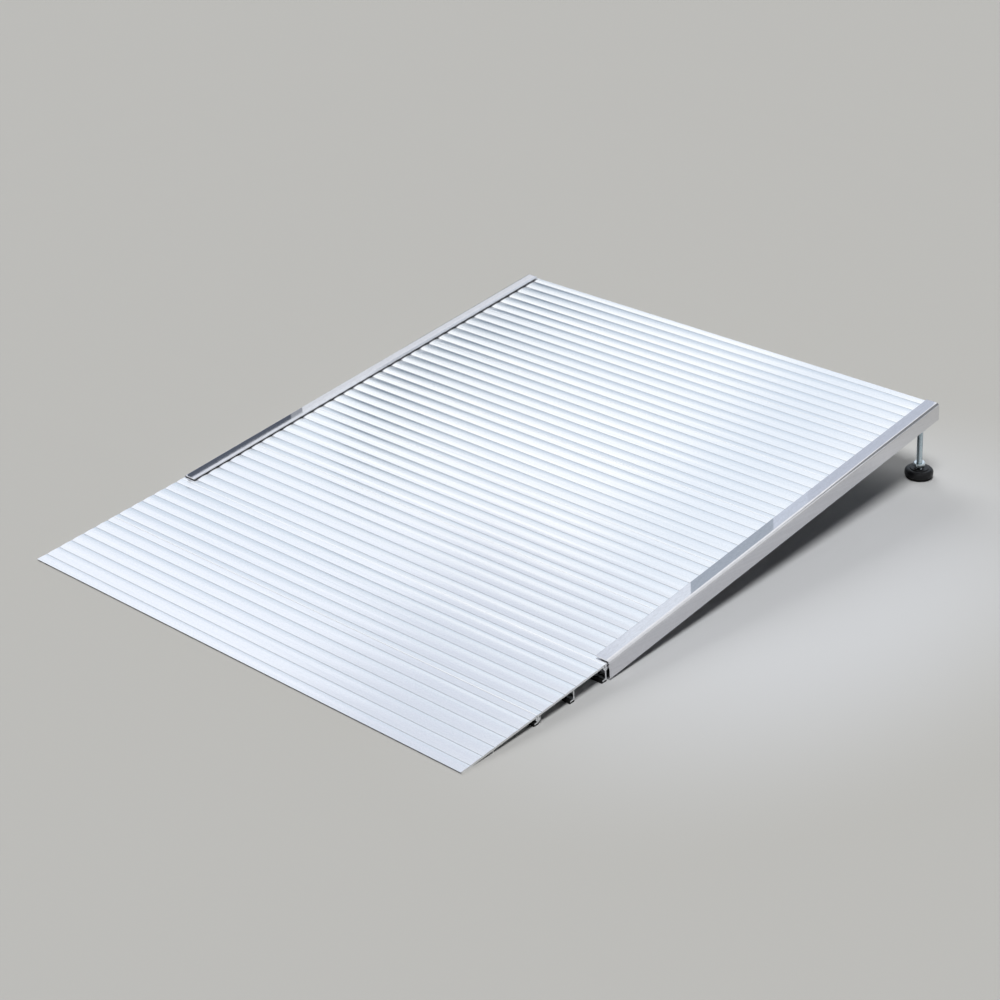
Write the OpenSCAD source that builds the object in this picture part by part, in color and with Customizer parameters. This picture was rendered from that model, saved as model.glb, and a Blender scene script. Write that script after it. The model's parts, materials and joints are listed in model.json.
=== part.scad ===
// Threshold ramp: ribbed planks hooked edge to edge, two side rails and two screw feet at the back.
// X runs across the ramp, +Y runs up the slope and the floor is at Z = 0.

/* [Tread] */
// Outside width over the two side rails
overall_w = 914; // [760:1:1060]
// Slope of the main deck in degrees
deck_slope = 6.56; // [6:0.02:7.2]
// Distance from rib to rib
rib_pitch = 25; // [24:0.25:26]
// Height of a rib above its grooves
rib_rise = 0.8; // [0.5:0.1:1.2]
// Thickness of the tread under a groove
skin_t = 3.2; // [2.8:0.1:3.6]
// Part of the first rib that stands behind the seam, on a plank's lower edge
plank_lip = 11.5; // [10.5:0.25:12]
// Length of the tip plank's nose, up to its first groove
tip_lip = 20; // [18:0.5:22]
// Distance of the tip plank's short leg from its front edge
nub_s = 66; // [62:0.5:70]
// Thickness of the tip plank at its front edge
tip_t = 2.2; // [1.8:0.1:2.8]
// Height of the tread at the seam between the front planks and the deck
seam_h = 30.2; // [29.6:0.1:31]

/* [Webs] */
// Depth of a deck plank from its rib crests to its feet
plank_depth = 27; // [26.4:0.1:27.4]
// Thickness of a web
web_t = 2.2; // [1.8:0.1:2.8]
// Length of the foot flange at the bottom of a web
foot_l = 9; // [8:0.25:9.5]
// Thickness of a foot flange
foot_t = 2.2; // [1.8:0.1:2.6]
// Place of a plank's middle web as a share of its length
mid_web_share = 0.533; // [0.5:0.005:0.55]
// Distance of a rear web's middle behind the seam
leg_in = 2.2; // [2:0.1:3]

/* [Interlock] */
// Gap between two planks at the tread surface
seam_gap = 1.2; // [1:0.1:1.6]
// Radius of the hook's round bead
bead_r = 2.3; // [2:0.1:2.6]
// Running clearance between bead and claw
bead_fit = 0.3; // [0.2:0.05:0.5]
// Wall of the claw that holds the bead
claw_wall = 1.9; // [1.6:0.1:2.2]
// Depth of the bead's centre below the rib crests
bead_depth = 7.6; // [7.2:0.1:8.4]
// Distance of the bead's centre behind the seam
bead_in = 3.2; // [3:0.1:3.4]
// Thickness of the neck that carries the bead and of the wall in front of it
neck_t = 2; // [1.6:0.1:2.2]
// Angle of the claw's mouth in front of the neck, in degrees
mouth_front = 48; // [46:1:52]
// Angle of the claw's mouth behind the neck, in degrees
mouth_rear = 55; // [50:1:60]

/* [Rubber strips] */
// Thickness of the rubber under a foot flange
strip_t = 3; // [2.6:0.1:3.6]
// Thickness of the strip's front wall and top lip
strip_wall = 1.6; // [1.2:0.1:2]
// Length of the top lip over the foot flange
strip_hold = 3; // [2:0.5:3.5]

/* [Side rails] */
// Width of a rail's top and bottom flange
rail_flange = 25; // [23:0.5:30]
// Wall of a rail
rail_wall = 2.5; // [2:0.1:3]
// Thickness of a rail's top flange
flange_t = 1.8; // [1.6:0.1:2.2]
// Distance of a rail's lower end behind the seam
rail_start = 7.5; // [7:0.25:9]
// Radius of a rail's outer top edge
rail_edge_r = 5.5; // [3:0.5:5.5]
// Radius of a rail's outer bottom edge
rail_foot_r = 1.5; // [1:0.1:2]
// Clearance between the rib crests and a rail's top flange
rail_fit = 1.1; // [0.8:0.1:1.6]
// Clearance between a plank's cut end and the rail
end_fit = 0.5; // [0.3:0.1:0.8]

/* [Screws] */
// Radius of a screw's shank
screw_r = 2.4; // [2:0.1:2.8]
// Radius of a screw's pan head
head_r = 4.6; // [4:0.1:5]
// Height of a screw's pan head
head_h = 2.8; // [2.2:0.1:3.4]
// Radius of the socket in a screw's head
socket_r = 1.7; // [1.3:0.1:2]
// Depth of that socket
socket_depth = 1.5; // [1:0.1:1.8]
// Clearance round a screw's shank
screw_fit = 0.1; // [0.05:0.05:0.3]
// Length of a rail screw that stands above the foot flange
screw_tail = 4; // [2:0.5:8]
// Distance of the rail screws from the rail's outer face
screw_in = 14; // [12:0.5:17]

/* [Foot blocks] */
// Distance of the stud from the rail's outer face
stud_in = 15.5; // [15.5:0.1:16.5]
// Distance of the stud from the deck's top end
stud_back = 33; // [32:0.25:35]
// Width of a block across the ramp
block_w = 25; // [22:0.5:25]
// Length of a block up the slope
block_l = 42; // [41:0.25:43]
// Gap between a block's top and the tread above it
block_top_gap = 3; // [2.5:0.1:5]
// Distance from the stud to each of a block's screws
block_screw_gap = 17; // [16.5:0.1:17.2]
// Depth of a block's screw holes
block_screw_l = 12; // [8:0.5:13]

/* [Studs] */
// Diameter of the stud's thread
stud_d = 9.9; // [8:0.1:11]
// Clearance between the stud and its thread in the block and nut
thread_fit = 0.05; // [0.02:0.01:0.08]
// Clearance between the stud and the hole in the rail
stud_hole_fit = 0.6; // [0.4:0.1:1]
// Gap between the stud's top end and the tread above it
stud_top_gap = 8; // [7.6:0.1:11]
// Width across the flats of the hex at the stud's foot
hex_af = 17; // [16:0.5:19.5]
// Height of that hex
hex_h = 7; // [5:0.5:9]
// Width across the flats of the lock nut
nut_af = 17; // [15:0.5:19]
// Height of the lock nut
nut_h = 8; // [5:0.5:9]
// Radius of the stud's ball end
ball_r = 6.5; // [6:0.1:7]
// Running clearance between the ball and its cup
ball_fit = 0.08; // [0.04:0.01:0.1]
// Radius of the neck between ball and hex
stud_neck_r = 4; // [3.5:0.1:4.3]
// Height of the hex above the ball's centre
hex_rise = 9.5; // [9.2:0.1:11]

/* [Pads] */
// Radius of a pad's rim
pad_r = 24.5; // [23:0.5:27]
// Radius of a pad's flat top
pad_top_r = 19; // [17:0.5:20.5]
// Height of a pad's rim above the floor
pad_rim_z = 14; // [12:0.5:15]
// Height of a pad's flat top above the ball's centre
pad_top_rise = 6; // [5.4:0.1:6.1]
// Thickness of the rubber sole
sole_t = 4; // [3.5:0.1:4.4]
// Radius of the rubber sole
sole_r = 22.5; // [21:0.5:23]
// Depth of the chamfer round the sole's bottom edge
sole_chamfer = 1; // [0.6:0.1:1.6]
// Depth of the groove between sole and rim
groove_depth = 2.6; // [2:0.1:3]
// Height of that groove
groove_h = 1.2; // [0.8:0.1:1.6]
// Plastic between the ball cup and the sole
cup_floor = 1.5; // [1.2:0.1:2]
// Radius of the cup's mouth where it holds the ball
mouth_r = 5.6; // [5.4:0.1:5.8]
// Radius of the cup's mouth at the pad's top
mouth_top_r = 8.5; // [8:0.1:9]
// Outer radius of the washer under the hex
washer_r = 7.5; // [6.5:0.1:7.6]
// Thickness of that washer
washer_t = 1.4; // [1:0.1:1.5]
// Clearance between washer and hex
washer_fit = 0.1; // [0.05:0.01:0.2]

/* [Hidden] */
$fn = 96;
full_ribs = 5;
deck_planks = 6;
// Overrun of every cut past the faces that it opens
cut = 1;

tread_t = rib_rise + skin_t;
rib_arc_r = (rib_pitch * rib_pitch / 4 + rib_rise * rib_rise) / (2 * rib_rise);
last_rib_w = rib_pitch - plank_lip;
plank_l = plank_lip + full_ribs * rib_pitch + last_rib_w;
tip_l = tip_lip + full_ribs * rib_pitch + last_rib_w;
wedge_l = tip_l + plank_l;
deck_l = deck_planks * plank_l;
plank_w = overall_w - 2 * (rail_wall + end_fit);
claw_r = bead_r + bead_fit + claw_wall;
mid_web = mid_web_share * plank_l;
foot_mid = web_t / 2 - foot_l / 2;

// The seam's height sets the slope of the two front planks, and the deck hangs on the bead behind it
wedge_slope = asin((seam_h - tip_t) / wedge_l);
hook_run = wedge_l + bead_in;
hook_y = hook_run * cos(wedge_slope) + bead_depth * sin(wedge_slope);
hook_z = tip_t + hook_run * sin(wedge_slope) - bead_depth * cos(wedge_slope);
deck_y = hook_y - bead_in * cos(deck_slope) - bead_depth * sin(deck_slope);
deck_z = hook_z - bead_in * sin(deck_slope) + bead_depth * cos(deck_slope);

// Depth of a foot under the front planks' rib crests, for the web at a distance from the tip
function leg_depth(s) = (tip_t + (s + foot_mid) * sin(wedge_slope) - strip_t) / cos(wedge_slope);

rail_l = deck_l - rail_start;
rail_top = rail_fit + flange_t;
rail_bottom = -plank_depth - rail_wall;
rail_h = rail_top - rail_bottom;
screw_x = overall_w / 2 - screw_in;
// Places of the webs whose feet stand on the rails, up the deck, and of the screws in those feet
web_places = concat(
    [for (i = [0 : deck_planks - 1]) i * plank_l + mid_web],
    [for (i = [1 : deck_planks - 1]) i * plank_l + leg_in],
    [deck_l - web_t / 2]);
screw_places = [for (s = web_places) s - foot_l / 2];

block_h = plank_depth - tread_t - block_top_gap;
stud_x = overall_w / 2 - stud_in;
stud_s = deck_l - stud_back;
ball_z = sole_t + cup_floor + ball_r + ball_fit;
ball_n = (ball_z - deck_z - stud_s * sin(deck_slope)) / cos(deck_slope);
ball_y = deck_y + stud_s * cos(deck_slope) - ball_n * sin(deck_slope);
stud_top = -tread_t - stud_top_gap;
rail_end_y = deck_y + deck_l * cos(deck_slope) - rail_bottom * sin(deck_slope);
total_l = max(ball_y + pad_r, rail_end_y);

pad_top_z = ball_z + pad_top_rise;
dome_rise = (pad_r * pad_r - pad_top_r * pad_top_r + pad_rim_z * pad_rim_z - pad_top_z * pad_top_z)
    / (2 * (pad_rim_z - pad_top_z));
dome_r = sqrt(pad_r * pad_r + (pad_rim_z - dome_rise) * (pad_rim_z - dome_rise));
cup_r = ball_r + ball_fit;
mouth_rise = sqrt(cup_r * cup_r - mouth_r * mouth_r);

aluminium = [0.86, 0.88, 0.92];
rail_grey = [0.76, 0.76, 0.79];
zinc = [0.68, 0.74, 0.76];
rubber = [0.07, 0.07, 0.075];
plastic = [0.05, 0.05, 0.055];

// Frames

module from_tip() {
    translate([0, -total_l / 2, 0]) children();
}

// Front planks: Y runs up their slope from the tip, Z = 0 is the rib crests
module on_wedge() {
    from_tip() translate([0, 0, tip_t]) rotate([wedge_slope, 0, 0]) children();
}

// Main deck: Y runs up its slope from the seam behind the front planks, Z = 0 is the rib crests
module on_deck() {
    from_tip() translate([0, deck_y, deck_z]) rotate([deck_slope, 0, 0]) children();
}

// A stud's own frame: its ball's centre is the origin and Z runs up the thread
module on_stud() {
    on_deck() translate([stud_x, stud_s, ball_n]) children();
}

// A pad's own frame: its sole's centre on the floor is the origin
module on_pad() {
    from_tip() translate([stud_x, ball_y, 0]) children();
}

module left() {
    mirror([1, 0, 0]) children();
}

// A section drawn in (up the slope, height) and drawn out across the ramp
module across() {
    rotate([90, 0, 90]) linear_extrude(plank_w, center = true) children();
}

module above_floor() {
    intersection() {
        children();
        translate([-overall_w, -total_l, 0]) cube([2 * overall_w, 2 * total_l, overall_w]);
    }
}

// Plank sections

// Piece of a rib, from a place across it and so wide
module rib(start, w) {
    intersection() {
        translate([rib_pitch / 2, -rib_arc_r]) circle(rib_arc_r, $fn = 240);
        translate([start, -tread_t]) square([w, tread_t]);
    }
}

// The whole ribs and the cut one behind them, which stops short of the seam by a gap
module ribs(gap) {
    for (i = [0 : full_ribs - 1]) translate([i * rib_pitch, 0]) rib(0, rib_pitch);
    translate([full_ribs * rib_pitch, 0]) rib(0, last_rib_w - gap);
}

// Web that ends in a foot flange, from a height down to a depth
module web(top, depth) {
    translate([-web_t / 2, -depth]) square([web_t, top + depth]);
    translate([web_t / 2 - foot_l, -depth]) square([foot_l, foot_t]);
}

module claw() {
    reach = 2 * claw_r;
    difference() {
        circle(claw_r);
        circle(bead_r + bead_fit);
        polygon([
            [0, 0],
            [reach * sin(mouth_rear), reach * cos(mouth_rear)],
            [-reach * sin(mouth_front), reach * cos(mouth_front)]]);
    }
}

// Lower edge of a plank: the rest of a rib, with the neck and bead under it
module plank_front() {
    translate([-last_rib_w, 0]) rib(last_rib_w + seam_gap / 2, plank_lip - seam_gap / 2);
    translate([bead_in - neck_t / 2, -bead_depth]) square([neck_t, bead_depth - tread_t]);
    translate([bead_in, -bead_depth]) circle(bead_r);
}

// Upper edge of a plank: a wall, the claw that holds the next plank's bead, and the web under the claw
module plank_rear(depth) {
    wall_low = bead_depth + bead_r / 2;
    translate([-seam_gap / 2 - neck_t, -wall_low]) square([neck_t, wall_low - tread_t]);
    translate([bead_in, -bead_depth]) claw();
    translate([leg_in, 0]) web(claw_wall / 2 - bead_depth - claw_r, depth);
}

module plank_section(mid_depth, gap) {
    plank_front();
    translate([plank_lip, 0]) ribs(gap);
    translate([mid_web, 0]) web(-tread_t, mid_depth);
}

module linked_section(mid_depth, rear_depth) {
    plank_section(mid_depth, seam_gap / 2);
    translate([plank_l, 0]) plank_rear(rear_depth);
}

// Section of the top plank: a plain web stands under its free edge
module top_section() {
    plank_section(plank_depth, 0);
    translate([plank_l - web_t / 2, 0]) web(-tread_t, plank_depth);
}

// Section of the tip plank: a flat nose that ends as half a rib, and a short leg that reaches the floor
module tip_section(rear_depth) {
    crest_s = tip_lip - rib_pitch / 2;
    translate([0, -tread_t]) square([crest_s, tread_t]);
    translate([tip_lip - rib_pitch, 0]) rib(rib_pitch / 2, rib_pitch / 2);
    translate([tip_lip, 0]) ribs(seam_gap / 2);
    translate([nub_s - web_t / 2, -plank_depth]) square([web_t, plank_depth - tread_t]);
    translate([tip_l, 0]) plank_rear(rear_depth);
}

// Rubber strip clipped round a foot flange whose web stands at the origin
module strip_section(depth) {
    toe = web_t / 2 - foot_l;
    front = toe - strip_wall;
    translate([front, -depth - strip_t - foot_l]) square([foot_l + strip_wall, strip_t + foot_l]);
    translate([front, -depth]) square([strip_wall, foot_t + strip_wall]);
    translate([front, -depth + foot_t]) square([strip_wall + strip_hold, strip_wall]);
}

// Planks

module tip_plank() {
    color(aluminium) above_floor() on_wedge() across() tip_section(leg_depth(tip_l + leg_in));
}

module wedge_plank() {
    color(aluminium) on_wedge() translate([0, tip_l, 0]) across()
        linked_section(leg_depth(tip_l + mid_web), leg_depth(wedge_l + leg_in));
}

// Deck plank number i, counted up the slope from 0, with a hole over each rail for every foot's screw
module deck_plank(i) {
    color(aluminium) on_deck() difference() {
        translate([0, i * plank_l, 0]) across() {
            if (i == deck_planks - 1) top_section();
            else linked_section(plank_depth, plank_depth);
        }
        for (x = [-screw_x, screw_x]) for (s = screw_places) {
            translate([x, s, -plank_depth - cut]) cylinder(r = screw_r + screw_fit, h = foot_t + 2 * cut);
        }
    }
}

// Rubber strip under the web that stands at a distance from the tip
module strip(s) {
    color(rubber) above_floor() on_wedge() translate([0, s, 0]) across() strip_section(leg_depth(s));
}

// Side rails

module rounded_corner(r) {
    difference() {
        square([r + cut, r + cut]);
        circle(r);
    }
}

// Section of the right rail in (across, height), open towards the planks
module rail_section() {
    outer = overall_w / 2;
    difference() {
        translate([outer - rail_flange, rail_bottom]) square([rail_flange, rail_h]);
        translate([outer - rail_flange - cut, -plank_depth])
            square([rail_flange + cut - rail_wall, plank_depth + rail_fit]);
        translate([outer - rail_edge_r, rail_top - rail_edge_r]) rounded_corner(rail_edge_r);
        translate([outer - rail_foot_r, rail_bottom + rail_foot_r]) mirror([0, 1])
            rounded_corner(rail_foot_r);
    }
}

module rail() {
    color(rail_grey) on_deck() difference() {
        translate([0, deck_l, 0]) rotate([90, 0, 0]) linear_extrude(rail_l) rail_section();
        for (s = screw_places) translate([screw_x, s, 0]) rail_hole(screw_r + screw_fit);
        for (s = [-block_screw_gap, block_screw_gap])
            translate([stud_x, stud_s + s, 0]) rail_hole(screw_r + screw_fit);
        translate([stud_x, stud_s, 0]) rail_hole(stud_d / 2 + stud_hole_fit);
    }
}

module rail_hole(r) {
    translate([0, 0, rail_bottom - cut]) cylinder(r = r, h = rail_wall + 2 * cut);
}

// Screw from below: its head bears on the rail and its shank goes up by a length
module screw(l) {
    translate([0, 0, rail_bottom]) {
        cylinder(r = screw_r, h = l);
        difference() {
            translate([0, 0, -head_h]) cylinder(r = head_r, h = head_h);
            translate([0, 0, -head_h - cut]) cylinder(r = socket_r, h = socket_depth + cut, $fn = 6);
        }
    }
}

module rail_screws() {
    color(zinc) on_deck() for (s = screw_places) {
        translate([screw_x, s, 0]) screw(rail_wall + foot_t + screw_tail);
    }
}

// Foot blocks

module foot_block() {
    color(rail_grey) on_deck() translate([stud_x, stud_s, -plank_depth]) difference() {
        translate([-block_w / 2, -block_l / 2, 0]) cube([block_w, block_l, block_h]);
        translate([0, 0, -cut]) cylinder(r = stud_d / 2 + thread_fit, h = block_h + 2 * cut);
        for (s = [-block_screw_gap, block_screw_gap])
            translate([0, s, -cut]) cylinder(r = screw_r + screw_fit, h = block_screw_l + cut);
    }
}

module block_screws() {
    color(zinc) on_deck() for (s = [-block_screw_gap, block_screw_gap]) {
        translate([stud_x, stud_s + s, 0]) screw(rail_wall + block_screw_l - screw_fit);
    }
}

// Screw feet

module hexagon(af, h) {
    cylinder(r = af / 2 / cos(30), h = h, $fn = 6);
}

module lock_nut() {
    color(zinc) on_deck() translate([stud_x, stud_s, rail_bottom - nut_h]) difference() {
        hexagon(nut_af, nut_h);
        translate([0, 0, -cut]) cylinder(r = stud_d / 2 + thread_fit, h = nut_h + 2 * cut);
    }
}

module stud() {
    color(zinc) on_stud() {
        sphere(ball_r);
        cylinder(r = stud_neck_r, h = hex_rise);
        translate([0, 0, hex_rise]) hexagon(hex_af, hex_h);
        translate([0, 0, hex_rise]) cylinder(r = stud_d / 2, h = stud_top - ball_n - hex_rise);
    }
}

module neck_washer() {
    color(plastic) on_stud() translate([0, 0, hex_rise - washer_fit - washer_t]) difference() {
        cylinder(r = washer_r, h = washer_t);
        translate([0, 0, -cut]) cylinder(r = stud_neck_r + ball_fit, h = washer_t + 2 * cut);
    }
}

module pad() {
    color(plastic) on_pad() difference() {
        intersection() {
            translate([0, 0, dome_rise]) sphere(dome_r);
            translate([0, 0, sole_t]) cylinder(r = pad_r, h = pad_top_z - sole_t);
        }
        translate([0, 0, sole_t - cut]) difference() {
            cylinder(r = pad_r + cut, h = cut + groove_h);
            cylinder(r = pad_r - groove_depth, h = cut + groove_h);
        }
        translate([0, 0, ball_z]) sphere(cup_r);
        translate([0, 0, ball_z + mouth_rise])
            cylinder(r1 = mouth_r, r2 = mouth_top_r, h = pad_top_rise - mouth_rise);
        translate([0, 0, pad_top_z]) cylinder(r = mouth_top_r, h = cut);
        translate([0, 0, ball_z]) cylinder(r = mouth_r, h = mouth_rise);
    }
}

module sole() {
    color(rubber) on_pad() {
        cylinder(r1 = sole_r - sole_chamfer, r2 = sole_r, h = sole_chamfer);
        translate([0, 0, sole_chamfer]) cylinder(r = sole_r, h = sole_t - sole_chamfer);
    }
}

tip_plank();
wedge_plank();
deck_plank(0);  // deck_plank_1
deck_plank(1);  // deck_plank_2
deck_plank(2);  // deck_plank_3
deck_plank(3);  // deck_plank_4
deck_plank(4);  // deck_plank_5
deck_plank(5);  // deck_plank_6
left() rail();  // left_rail
rail();  // right_rail
left() rail_screws();  // left_rail_screws
rail_screws();  // right_rail_screws
strip(tip_l + leg_in);  // tip_strip
strip(tip_l + mid_web);  // wedge_mid_strip
strip(wedge_l + leg_in);  // wedge_rear_strip
left() foot_block();  // left_foot_block
foot_block();  // right_foot_block
left() block_screws();  // left_block_screws
block_screws();  // right_block_screws
left() lock_nut();  // left_lock_nut
lock_nut();  // right_lock_nut
left() stud();  // left_stud
stud();  // right_stud
left() neck_washer();  // left_neck_washer
neck_washer();  // right_neck_washer
left() pad();  // left_pad
pad();  // right_pad
left() sole();  // left_sole
sole();  // right_sole
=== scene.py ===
# %% [markdown]
# # A threshold ramp
# The ramp is made of ribbed aluminium planks that hook into each other, two channel rails along
# the sides, rubber strips under the front legs and two screw feet under the upper end. The
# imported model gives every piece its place. This lesson draws the same sections again with fine
# arcs and real threads, and gives each finish its material.

# %% Load the frame
import json
import math

import bmesh
import bpy
from mathutils import Matrix, Vector


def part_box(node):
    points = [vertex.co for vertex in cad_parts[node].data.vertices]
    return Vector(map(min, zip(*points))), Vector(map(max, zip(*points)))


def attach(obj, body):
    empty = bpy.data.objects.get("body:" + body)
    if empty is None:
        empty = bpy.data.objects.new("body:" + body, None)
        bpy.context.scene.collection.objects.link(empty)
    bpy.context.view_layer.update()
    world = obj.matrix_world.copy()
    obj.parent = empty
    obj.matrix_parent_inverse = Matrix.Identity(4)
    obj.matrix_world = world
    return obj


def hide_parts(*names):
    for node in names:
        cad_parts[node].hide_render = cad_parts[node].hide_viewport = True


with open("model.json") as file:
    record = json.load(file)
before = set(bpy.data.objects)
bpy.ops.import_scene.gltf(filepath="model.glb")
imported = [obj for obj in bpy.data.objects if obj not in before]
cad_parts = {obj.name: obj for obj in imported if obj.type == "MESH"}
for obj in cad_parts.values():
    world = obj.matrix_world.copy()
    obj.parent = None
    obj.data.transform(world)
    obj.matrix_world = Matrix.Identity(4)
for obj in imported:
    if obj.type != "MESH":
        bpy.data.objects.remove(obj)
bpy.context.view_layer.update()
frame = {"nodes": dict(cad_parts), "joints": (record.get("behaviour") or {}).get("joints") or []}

MM = 0.001
joints = {joint["name"]: joint for joint in frame["joints"]}
print("nodes:", len(frame["nodes"]), "joints:", len(joints))

# %% [markdown]
# ## Two slopes
# The front planks and the deck lie on two different slopes. Both are measured on the model
# itself: the two hinge pins lie in the front planks, and the screw feet stand square to the
# deck. A frame for each slope turns a drawing of (distance up the slope, height over the rib
# crests) into a place in the room.

# %% Frames of the two slopes
RIB_PITCH = 25 * MM
RIB_RISE = 0.8 * MM
SKIN = 3.2 * MM
FULL_RIBS = 5
PLANK_LIP = 11.5 * MM
TIP_NOSE = 20 * MM
LAST_RIB = RIB_PITCH - PLANK_LIP
PLANK_L = (FULL_RIBS + 1) * RIB_PITCH
TIP_L = TIP_NOSE + FULL_RIBS * RIB_PITCH + LAST_RIB
BEAD_IN = 3.2 * MM
BEAD_DEPTH = 7.6 * MM

wedge_pin = Vector(joints["wedge_hinge"]["pos_m"])
tip_pin = Vector(joints["tip_hinge"]["pos_m"])
rod_down = Vector(joints["right_foot_height"]["axis"])
deck_slope = math.atan2(rod_down.y, -rod_down.z)
wedge_slope = math.atan2(wedge_pin.z - tip_pin.z, wedge_pin.y - tip_pin.y)


def slope_frame(pin, slope, s):
    """Frame of a slope in which the pin lies at a distance s, at the beads' depth."""
    turn = Matrix.Rotation(slope, 4, "X")
    return Matrix.Translation(pin - turn @ Vector((0, s, -BEAD_DEPTH))) @ turn


deck_frame = slope_frame(wedge_pin, deck_slope, BEAD_IN)
wedge_frame = slope_frame(tip_pin, wedge_slope, TIP_L + BEAD_IN)
print("deck slope", round(math.degrees(deck_slope), 2),
      "front slope", round(math.degrees(wedge_slope), 2))

# %% [markdown]
# ## A pen for sections
# An extruded plank has one section all along, so the section is drawn once and pulled out. The
# pen keeps a bmesh and the last vertex: a straight line extrudes that vertex, and an arc spins
# it. Spinning gives round stretches as many short edges as they need, without a list of points.
# A line can also leave a shade mark at its end. The pulled mesh keeps the marks on the corners
# of its long faces, so a material can paint shade into a groove and leave the cut ends bright.

# %% The pen
ARC_STEP = math.radians(6)
ENDWISE = 0.5  # a face whose normal has more than this along X is a cut end
WELD = 0.002 * MM
CORNER = math.radians(80)  # an edge with a larger angle is a corner


def only(kind, items):
    """The items of one kind."""
    return [item for item in items if isinstance(item, kind)]


class Pen:
    """Draws an outline in the YZ plane with lines and arcs."""

    def __init__(self, y, z):
        self.bm = bmesh.new()
        self.mark = self.bm.verts.layers.float.new("mark")
        self.first = self.tip = self.bm.verts.new((0, y, z))

    def line(self, y, z, mark=0.0):
        """A straight line to a place, with a shade mark there for painted shade."""
        new = bmesh.ops.extrude_vert_indiv(self.bm, verts=[self.tip])
        self.tip = new["verts"][0]
        self.tip.co = (0, y, z)
        self.tip[self.mark] = mark

    def arc(self, y, z, turn, step=ARC_STEP):
        """An arc round a centre, by an angle."""
        new = bmesh.ops.spin(self.bm, geom=[self.tip], cent=(0, y, z), axis=(1, 0, 0), angle=turn,
                             steps=max(2, math.ceil(abs(turn) / step)))
        self.tip = only(bmesh.types.BMVert, new["geom_last"])[0]

    def close(self):
        """A line back to the start, and the face inside the outline."""
        self.bm.edges.new((self.tip, self.first))
        return bmesh.ops.contextual_create(self.bm, geom=self.bm.edges[:])["faces"]


def pulled(pen, width):
    """The pen's closed outline pulled out along X to both sides."""
    faces = pen.close()
    bm = pen.bm
    bmesh.ops.translate(bm, verts=bm.verts, vec=(-width / 2, 0, 0))
    new = bmesh.ops.extrude_face_region(bm, geom=faces)["geom"]
    bmesh.ops.translate(bm, verts=only(bmesh.types.BMVert, new), vec=(width, 0, 0))
    bmesh.ops.recalc_face_normals(bm, faces=bm.faces)
    # The shade marks go to the corners of the long faces as the 'groove' attribute, which paints
    # shade.
    groove = bm.loops.layers.float.new("groove")
    for face in bm.faces:
        if abs(face.normal.x) < ENDWISE:
            for loop in face.loops:
                loop[groove] = loop.vert[pen.mark]
    bm.verts.layers.float.remove(pen.mark)
    return bm


def turned(pen, steps):
    """The pen's open outline spun once round the Z axis."""
    bm = pen.bm
    bmesh.ops.spin(bm, geom=bm.verts[:] + bm.edges[:], cent=(0, 0, 0), axis=(0, 0, 1),
                   angle=math.tau, steps=steps, use_merge=True)
    bmesh.ops.remove_doubles(bm, verts=bm.verts, dist=WELD)
    bmesh.ops.recalc_face_normals(bm, faces=bm.faces)
    return bm


def ease_corners(bm, radius, segments):
    """Rounds the outer corners of a pulled piece."""
    corners = [e for e in bm.edges if e.calc_face_angle(0) > CORNER and e.is_convex]
    bmesh.ops.bevel(bm, geom=corners, offset=radius, segments=segments, profile=0.5,
                    affect="EDGES", material=-1)


print("pen step", round(math.degrees(ARC_STEP), 1), "degrees")

# %% [markdown]
# ## From a bmesh to a piece
# Every piece is finished in the same way. Its mesh is put in place, its sharp edges are marked
# so that only the round stretches shade smoothly, and it is tied to the body that it moves
# with.

# %% Finishing a piece
SHARP = math.radians(28)
FLAT_SHARE = 6  # a face this many times larger than its neighbour is a flat


def is_round(edge):
    """Whether an edge lies inside a round stretch, and not at a corner or beside a flat face."""
    areas = [face.calc_area() for face in edge.link_faces]
    return edge.calc_face_angle(0) < SHARP and max(areas) < FLAT_SHARE * min(areas)


def new_object(bm, name, material):
    """The mesh as an object with a material."""
    mesh = bpy.data.meshes.new(name)
    bm.to_mesh(mesh)
    bm.free()
    mesh.materials.append(material)
    thing = bpy.data.objects.new(name, mesh)
    bpy.context.collection.objects.link(thing)
    return thing


def finish_piece(bm, name, place, body, nodes, material):
    """Puts the mesh in place as an object that rides on a body and stands for its nodes."""
    bmesh.ops.transform(bm, matrix=place, verts=bm.verts)
    if place.determinant() < 0:
        bmesh.ops.reverse_faces(bm, faces=bm.faces)
    for face in bm.faces:
        face.smooth = True
    for edge in bm.edges:
        edge.smooth = is_round(edge)
    piece = new_object(bm, name, material)
    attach(piece, body)
    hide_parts(*nodes)
    print(name, "has", len(piece.data.polygons), "faces")


def joined(*parts):
    """Several bmeshes in one."""
    whole = bmesh.new()
    for bm in parts:
        mesh = bpy.data.meshes.new("part")
        bm.to_mesh(mesh)
        whole.from_mesh(mesh)
        bm.free()
        bpy.data.meshes.remove(mesh)
    return whole


MIRROR = Matrix.Scale(-1, 4, (1, 0, 0))
SIDES = {"left": MIRROR, "right": Matrix.Identity(4)}

# %% [markdown]
# ## Helpers for nodes
# A material is a tree of nodes. Each helper adds to a tree and hands back the result, so that
# the trees below read like short formulas. Effects that several materials share are built once,
# as node groups.

# %% Node helpers
def node_group(name, inputs, outputs):
    """An empty node group with a vector input, and number inputs and outputs."""
    group = bpy.data.node_groups.new(name, "ShaderNodeTree")
    group.interface.new_socket("Vector", in_out="INPUT", socket_type="NodeSocketVector")
    for socket in inputs:
        group.interface.new_socket(socket, in_out="INPUT", socket_type="NodeSocketFloat")
    for socket in outputs:
        group.interface.new_socket(socket, in_out="OUTPUT", socket_type="NodeSocketFloat")
    return group, group.nodes.new("NodeGroupInput"), group.nodes.new("NodeGroupOutput")


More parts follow.
